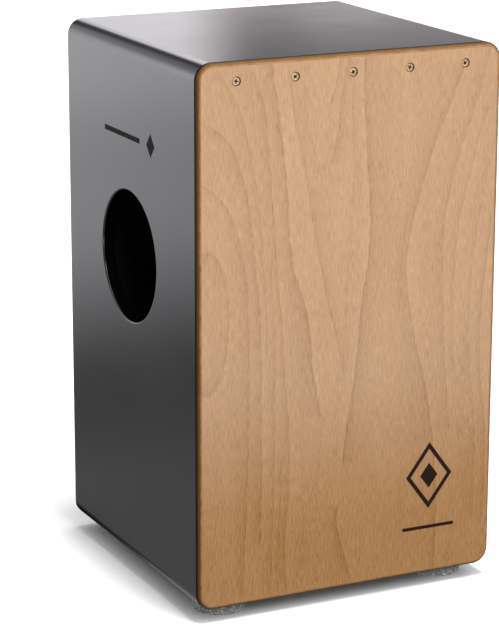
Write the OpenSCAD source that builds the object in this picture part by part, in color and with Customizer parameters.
// Cajon: a box drum that its player sits on. Four mitred boards make the shell, a thin
// front plate is the playing face, and a snare unit inside slides out of two slotted brackets.
// X runs across the front, the playing face looks along -Y, and the feet stand on Z = 0.

/* [Body] */
// Width across the front
body_w = 300; // [280:1:330]
// Depth from the playing face to the back
body_d = 291.5; // [270:0.5:320]
// Height of the box without its feet
body_h = 494; // [440:1:520]
// Thickness of the top, bottom and side boards
board_t = 12; // [11:0.5:14]
// Outer radius of the four long corners
corner_r = 15; // [14:0.5:16]

/* [Front plate] */
// Thickness of the playing face
plate_t = 4.5; // [4.5:0.1:6]
// Rounding of its outer front edge
plate_edge_r = 4; // [3:0.1:4]
// Number of screws along its top edge
plate_screw_n = 5; // [3:1:7]
// Distance between two neighbouring screws
plate_screw_pitch = 56.4; // [30:0.1:40]
// Distance of the screws below the top of the box
plate_screw_drop = 17; // [16:0.5:22]

/* [Back panel] */
// Thickness of the back panel, and depth of the rebate it sits in
back_t = 6; // [4:0.5:8]
// Width of the rebate in the boards
rebate_w = 6; // [5:0.5:7]

/* [Sound hole] */
// Radius of the hole in the left side board
hole_r = 61; // [50:0.5:65]
// Distance of its centre below the top of the box
hole_drop = 199; // [180:1:220]
// Distance of its centre behind the playing face
hole_back = 150; // [140:1:160]
// Rounding of its two rims
hole_rim_r = 1.5; // [0.5:0.1:3]

/* [Feet] */
// Radius of a foot
foot_r = 24; // [18:0.5:26]
// Height of a foot
foot_h = 12.4; // [11:0.1:16]
// Distance of a foot's centre from the side and from the playing face
foot_inset = 37; // [30:0.5:45]
// Rounding of a foot's edges
foot_edge_r = 1.5; // [0.5:0.1:2]

/* [Battens] */
// Height of the front battens behind the plate
batten_h = 22; // [22:1:26]
// Depth of the front battens
batten_d = 20; // [20:1:30]
// Leg of the triangular glue strips in the long corners
strip_leg = 16; // [10:1:20]

/* [Snare unit] */
// Height of the rail above the floor
rail_z = 310; // [290:1:311]
// Height of the rail
rail_h = 22; // [20:1:24]
// Depth of the rail at its underside
rail_d = 20; // [18:1:24]
// Forward lean of the snare wires, in degrees
snare_lean = 6; // [5:0.5:7]
// Number of wires in one set
wire_n = 20; // [12:1:20]
// Distance between two neighbouring wires
wire_pitch = 3.3; // [2.6:0.1:3.3]
// Outer radius of one coiled wire
wire_r = 1.1; // [0.8:0.1:1.2]
// Length of one coiled wire
wire_l = 150; // [120:1:150]
// Distance of the middle of each set from the middle of the cajon
set_x = 60; // [55:1:75]

/* [Hidden] */
$fn = 96;
eps = 1;

// Colours
lacquer = "#4a494c";
beech = "#c89f76";
raw_ply = "#b9966c";
dark_ply = "#2c2a29";
hardwood = "#a9825a";
granulate = "#a9a8a4";
rubber = "#222222";
steel = "#b4b6ba";
brassed = "#b08d4f";

// Places of the shell
front_y = -body_d / 2;
shell_front = front_y + plate_t;
shell_back = body_d / 2;
mid_z = foot_h + body_h / 2;
top_z = foot_h + body_h;
inner_w = body_w - 2 * board_t;
inner_h = body_h - 2 * board_t;
hole_y = front_y + hole_back;
hole_z = top_z - hole_drop;
back_clear = 0.1;

// Countersunk screws of the front plate
plate_screw_z = top_z - plate_screw_drop;
plate_screw_r = 2;
plate_head_r = 3.5;
plate_sink_r = 4.3;
plate_screw_l = 22;

// Pan-head screws and washers of the feet
foot_screw_r = 2;
foot_screw_l = 15;
pan_r = 4;
pan_h = 2.4;
washer_r = 8;
washer_t = 1.2;
foot_bore_r = 2.4;
foot_sink_r = 9;
foot_sink_h = 6;

// Snare unit: the wires lean forward until their tips nearly touch the plate
tip_gap = 0.4;
clamp_t = 1;
clamp_h = 12;
clamp_up = 5;
clamp_w = 86;
clamp_screw_x = 38;
clamp_screw_r = 1.5;
clamp_screw_l = 12;
clamp_pan_r = 3;
clamp_pan_h = 1.8;
wire_up = 7;
wire_gap_y = tip_gap + (wire_up + wire_l) * sin(snare_lean) + (clamp_t + 2 * wire_r) * cos(snare_lean);
rail_front = shell_front + wire_gap_y;
rail_back = rail_front + rail_d;
rail_nose = rail_front - rail_h * tan(snare_lean);
rail_end_gap = 3;
slide_gap = 0.3;

// Brackets that hold the two ends of the rail
pad_t = 1.5;
bracket_w = 14;
bracket_wall = 12;
bracket_stop = 6;
bracket_rear = 6;
slot_h = rail_h + 2 * (slide_gap + pad_t);
slot_front = rail_nose - slide_gap - pad_t;
bracket_h = slot_h + 2 * bracket_wall;
bracket_z = rail_z + rail_h / 2;
bracket_front = slot_front - bracket_stop;
bracket_back = rail_back + bracket_rear;
bracket_screw_r = 1.75;
bracket_head_r = 3.5;
bracket_screw_l = 22;

// Rounded rectangle about the origin
module rounded_rect(w, h, r) {
  square([w - 2 * r, h], center = true);
  square([w, h - 2 * r], center = true);
  for (sx = [-1, 1], sy = [-1, 1])
    translate([sx * (w / 2 - r), sy * (h / 2 - r)])
      circle(r);
}

// A flat outline in X and Z, drawn about the middle of the box and made solid from y0 to y1
module along_y(y0, y1) {
  translate([0, y1, mid_z])
    rotate([90, 0, 0])
      linear_extrude(y1 - y0)
        children();
}

// Cross section of the shell, cut to one board by the mitre outline given as a child
module board_section() {
  intersection() {
    difference() {
      rounded_rect(body_w, body_h, corner_r);
      square([inner_w, inner_h], center = true);
    }
    children();
  }
}

// Mitre outline of the top board, from its 45 degree ends
module top_outline() {
  polygon([[-body_w / 2, body_h / 2], [body_w / 2, body_h / 2],
    [inner_w / 2, inner_h / 2], [-inner_w / 2, inner_h / 2]]);
}

// Mitre outline of the right side board
module side_outline() {
  polygon([[body_w / 2, -body_h / 2], [body_w / 2, body_h / 2],
    [inner_w / 2, inner_h / 2], [inner_w / 2, -inner_h / 2]]);
}

// One mitred board with the rebate for the back panel
module board() {
  difference() {
    along_y(shell_front, shell_back)
      board_section() children();
    along_y(shell_back - back_t, shell_back + eps)
      rounded_rect(body_w - 2 * rebate_w, body_h - 2 * rebate_w, corner_r - rebate_w);
  }
}

// Axis from a point on the left side board into the box, along +X
module into_left(y, z) {
  translate([-body_w / 2, y, z])
    rotate([0, 90, 0])
      children();
}

// Cutter for a round hole through a board, with both of its rims rounded
module hole_cutter(r, rim, t) {
  rotate_extrude()
    difference() {
      translate([0, -eps])
        square([r + rim, t + 2 * eps]);
      translate([r, rim])
        square([rim + eps, t - 2 * rim]);
      for (z = [rim, t - rim])
        translate([r + rim, z])
          circle(rim);
    }
}

// Countersunk screw with its tip at the far end of +Z and its head's face on Z = 0
module sunk_screw(r, head_r, l) {
  rotate_extrude()
    polygon([[0, 0], [head_r, 0], [head_r, 0.3], [r, head_r - r + 0.3],
      [r, l - 2 * r], [0, l]]);
}

// Pan-head screw with the underside of its head on Z = 0 and its tip at the far end of +Z
module pan_screw(r, head_r, head_h, l) {
  rotate_extrude()
    polygon([[0, -head_h], [head_r * 0.7, -head_h], [head_r, -head_h * 0.5], [head_r, 0],
      [r, 0], [r, l - 2 * r], [0, l]]);
}

// The screws' places along the top edge of the plate
module at_plate_screws() {
  for (i = [0 : plate_screw_n - 1])
    translate([(i - (plate_screw_n - 1) / 2) * plate_screw_pitch, front_y, plate_screw_z])
      rotate([-90, 0, 0])
        children();
}

// The screws' places in the two brackets, from the middle of the box outwards along -X
module at_left_bracket_screws() {
  for (s = [-1, 1])
    translate([-inner_w / 2 + bracket_w, (bracket_front + bracket_back) / 2,
      bracket_z + s * (slot_h + bracket_wall) / 2])
      rotate([0, -90, 0])
        children();
}

// A foot's place in one quarter of the underside
module at_foot(sx, sy) {
  translate([sx * (body_w / 2 - foot_inset), sy * (body_d / 2 - foot_inset), 0])
    children();
}

// All four feet's places
module at_feet() {
  for (sx = [-1, 1], sy = [-1, 1])
    at_foot(sx, sy)
      children();
}

// Frame of the rail's leaning front face: Z runs up the face and -Y points out of it
module on_rail_face() {
  translate([0, rail_front, rail_z])
    rotate([snare_lean, 0, 0])
      children();
}

// The screws' places on the rail's front face, for both clamps
module at_clamp_screws() {
  on_rail_face()
    for (sx = [-1, 1], s = [-1, 1])
      translate([sx * set_x + s * clamp_screw_x, -clamp_t, clamp_up + clamp_h / 2])
        rotate([-90, 0, 0])
          children();
}

module top_panel() {
  color(lacquer)
    board() top_outline();
}

module bottom_panel() {
  color(lacquer)
    difference() {
      board() mirror([0, 1]) top_outline();
      at_feet()
        translate([0, 0, foot_sink_h - washer_t])
          pan_screw(foot_screw_r, pan_r, pan_h, foot_screw_l);
    }
}

module left_side_panel() {
  color(lacquer)
    difference() {
      board() mirror([1, 0]) side_outline();
      into_left(hole_y, hole_z)
        hole_cutter(hole_r, hole_rim_r, board_t);
      at_left_bracket_screws()
        sunk_screw(bracket_screw_r, bracket_head_r, bracket_screw_l);
    }
}

module right_side_panel() {
  color(lacquer)
    difference() {
      board() side_outline();
      mirror([1, 0, 0])
        at_left_bracket_screws()
          sunk_screw(bracket_screw_r, bracket_head_r, bracket_screw_l);
    }
}

module back_panel() {
  w = body_w - 2 * rebate_w;
  h = body_h - 2 * rebate_w;
  color(dark_ply)
    along_y(shell_back - back_t, shell_back)
      rounded_rect(w - 2 * back_clear, h - 2 * back_clear, corner_r - rebate_w - back_clear);
}

// Cross section of the plate's edge: X runs outwards and Y from its back to its front
module edge_profile() {
  r = plate_edge_r;
  square([r, plate_t - r]);
  translate([0, plate_t - r])
    intersection() {
      circle(r);
      square(r);
    }
}

// One straight edge and the corner at its far end, about the plate's own middle
module plate_edge(w, h) {
  straight = h - 2 * corner_r;
  translate([w / 2 - plate_edge_r, straight / 2, 0])
    rotate([90, 0, 0])
      linear_extrude(straight)
        edge_profile();
  translate([w / 2 - corner_r, straight / 2, 0])
    rotate_extrude(angle = 90)
      translate([corner_r - plate_edge_r, 0])
        edge_profile();
}

// The plate before drilling: its corners follow the shell and its front edge is a quarter round
module plate_blank() {
  r = plate_edge_r;
  translate([0, shell_front, mid_z])
    rotate([90, 0, 0]) {
      linear_extrude(plate_t)
        rounded_rect(body_w - 2 * r, body_h - 2 * r, corner_r - r);
      for (a = [0, 180])
        rotate(a) {
          plate_edge(body_w, body_h);
          rotate(90)
            plate_edge(body_h, body_w);
        }
    }
}

module front_plate() {
  sink = plate_sink_r - plate_head_r;
  color(beech)
    difference() {
      plate_blank();
      at_plate_screws() {
        translate([0, 0, sink])
          sunk_screw(plate_screw_r, plate_head_r, plate_screw_l);
        translate([0, 0, -eps])
          cylinder(h = sink + eps, r1 = plate_sink_r + eps, r2 = plate_head_r);
      }
    }
}

// Batten behind the plate, under the top board
module front_batten() {
  along_y(shell_front, shell_front + batten_d)
    translate([0, inner_h / 2 - batten_h / 2])
      square([inner_w, batten_h], center = true);
}

module front_top_batten() {
  color(hardwood)
    difference() {
      front_batten();
      at_plate_screws()
        translate([0, 0, plate_sink_r - plate_head_r])
          sunk_screw(plate_screw_r, plate_head_r, plate_screw_l);
    }
}

module front_bottom_batten() {
  color(hardwood)
    translate([0, 0, 2 * mid_z])
      mirror([0, 0, 1])
        front_batten();
}

// Triangular glue strip in one long corner, from the battens to the back panel
module glue_strip(sx, sz) {
  color(hardwood)
    along_y(shell_front + batten_d, shell_back - back_t)
      scale([sx, sz])
        polygon([[inner_w / 2, inner_h / 2], [inner_w / 2 - strip_leg, inner_h / 2],
          [inner_w / 2, inner_h / 2 - strip_leg]]);
}

module glue_strip_top_left() { glue_strip(-1, 1); }
module glue_strip_top_right() { glue_strip(1, 1); }
module glue_strip_bottom_left() { glue_strip(-1, -1); }
module glue_strip_bottom_right() { glue_strip(1, -1); }

module plate_screws() {
  color(brassed)
    at_plate_screws()
      translate([0, 0, plate_sink_r - plate_head_r])
        sunk_screw(plate_screw_r, plate_head_r, plate_screw_l);
}

// Round foot with a counterbore underneath for its washer and screw
module foot(sx, sy) {
  e = foot_edge_r;
  color(granulate)
    at_foot(sx, sy)
      rotate_extrude()
        difference() {
          union() {
            translate([foot_bore_r, 0])
              square([foot_r - e - foot_bore_r, foot_h]);
            translate([foot_r - 2 * e, e])
              square([2 * e, foot_h - 2 * e]);
            for (z = [e, foot_h - e])
              translate([foot_r - e, z])
                circle(e);
          }
          translate([0, -eps])
            square([foot_sink_r, foot_sink_h + eps]);
        }
}

module foot_front_left() { foot(-1, -1); }
module foot_front_right() { foot(1, -1); }
module foot_rear_left() { foot(-1, 1); }
module foot_rear_right() { foot(1, 1); }

module foot_washers() {
  color(steel)
    at_feet()
      translate([0, 0, foot_sink_h - washer_t])
        rotate_extrude()
          translate([foot_bore_r, 0])
            square([washer_r - foot_bore_r, washer_t]);
}

module foot_screws() {
  color(steel)
    at_feet()
      translate([0, 0, foot_sink_h - washer_t])
        pan_screw(foot_screw_r, pan_r, pan_h, foot_screw_l);
}

// Block on the left side board, with a slot for the rail that is open at the back
module bracket() {
  color(hardwood)
    difference() {
      translate([-inner_w / 2, bracket_front, bracket_z - bracket_h / 2])
        cube([bracket_w, bracket_back - bracket_front, bracket_h]);
      translate([-inner_w / 2 - eps, slot_front, bracket_z - slot_h / 2])
        cube([bracket_w + 2 * eps, bracket_back - slot_front + eps, slot_h]);
      at_left_bracket_screws() {
        sunk_screw(bracket_screw_r, bracket_head_r, bracket_screw_l);
        translate([0, 0, -eps])
          cylinder(h = eps, r = bracket_head_r);
      }
    }
}

module bracket_left() { bracket(); }
module bracket_right() { mirror([1, 0, 0]) bracket(); }

// Rubber lining of the slot, on its two long walls and its closed end
module bracket_pad() {
  color(rubber)
    difference() {
      translate([-inner_w / 2, slot_front, bracket_z - slot_h / 2])
        cube([bracket_w, bracket_back - slot_front, slot_h]);
      translate([-inner_w / 2 - eps, slot_front + pad_t, bracket_z - slot_h / 2 + pad_t])
        cube([bracket_w + 2 * eps, bracket_back - slot_front, slot_h - 2 * pad_t]);
    }
}

module bracket_pad_left() { bracket_pad(); }
module bracket_pad_right() { mirror([1, 0, 0]) bracket_pad(); }

module bracket_screws() {
  color(steel)
    for (m = [0, 1])
      mirror([m, 0, 0])
        at_left_bracket_screws()
          sunk_screw(bracket_screw_r, bracket_head_r, bracket_screw_l);
}

// Crossbar that carries the wires, with a front face that leans forward
module snare_rail() {
  l = inner_w - 2 * rail_end_gap;
  color(hardwood)
    difference() {
      translate([-l / 2, 0, rail_z])
        rotate([90, 0, 90])
          linear_extrude(l)
            polygon([[rail_front, 0], [rail_back, 0], [rail_back, rail_h], [rail_nose, rail_h]]);
      at_clamp_screws()
        pan_screw(clamp_screw_r, clamp_pan_r, clamp_pan_h, clamp_screw_l);
    }
}

// Steel strip that one set of wires is soldered to
module snare_clamp(sx) {
  color(steel)
    difference() {
      on_rail_face()
        translate([sx * set_x - clamp_w / 2, -clamp_t, clamp_up])
          cube([clamp_w, clamp_t, clamp_h]);
      at_clamp_screws()
        translate([0, 0, -eps])
          cylinder(h = clamp_t + 2 * eps, r = clamp_screw_r);
    }
}

module snare_clamp_left() { snare_clamp(-1); }
module snare_clamp_right() { snare_clamp(1); }

// One set of coiled wires, as plain rods of the coils' outer size
module snare_wires(sx) {
  color(steel)
    on_rail_face()
      for (i = [0 : wire_n - 1])
        translate([sx * set_x + (i - (wire_n - 1) / 2) * wire_pitch, -clamp_t - wire_r, wire_up])
          cylinder(h = wire_l, r = wire_r);
}

module snare_wires_left() { snare_wires(-1); }
module snare_wires_right() { snare_wires(1); }

module clamp_screws() {
  color(steel)
    at_clamp_screws()
      pan_screw(clamp_screw_r, clamp_pan_r, clamp_pan_h, clamp_screw_l);
}

top_panel();
bottom_panel();
left_side_panel();
right_side_panel();
back_panel();
front_plate();
front_top_batten();
front_bottom_batten();
glue_strip_top_left();
glue_strip_top_right();
glue_strip_bottom_left();
glue_strip_bottom_right();
plate_screws();
foot_front_left();
foot_front_right();
foot_rear_left();
foot_rear_right();
foot_washers();
foot_screws();
bracket_left();
bracket_right();
bracket_pad_left();
bracket_pad_right();
bracket_screws();
snare_rail();
snare_clamp_left();
snare_clamp_right();
snare_wires_left();
snare_wires_right();
clamp_screws();
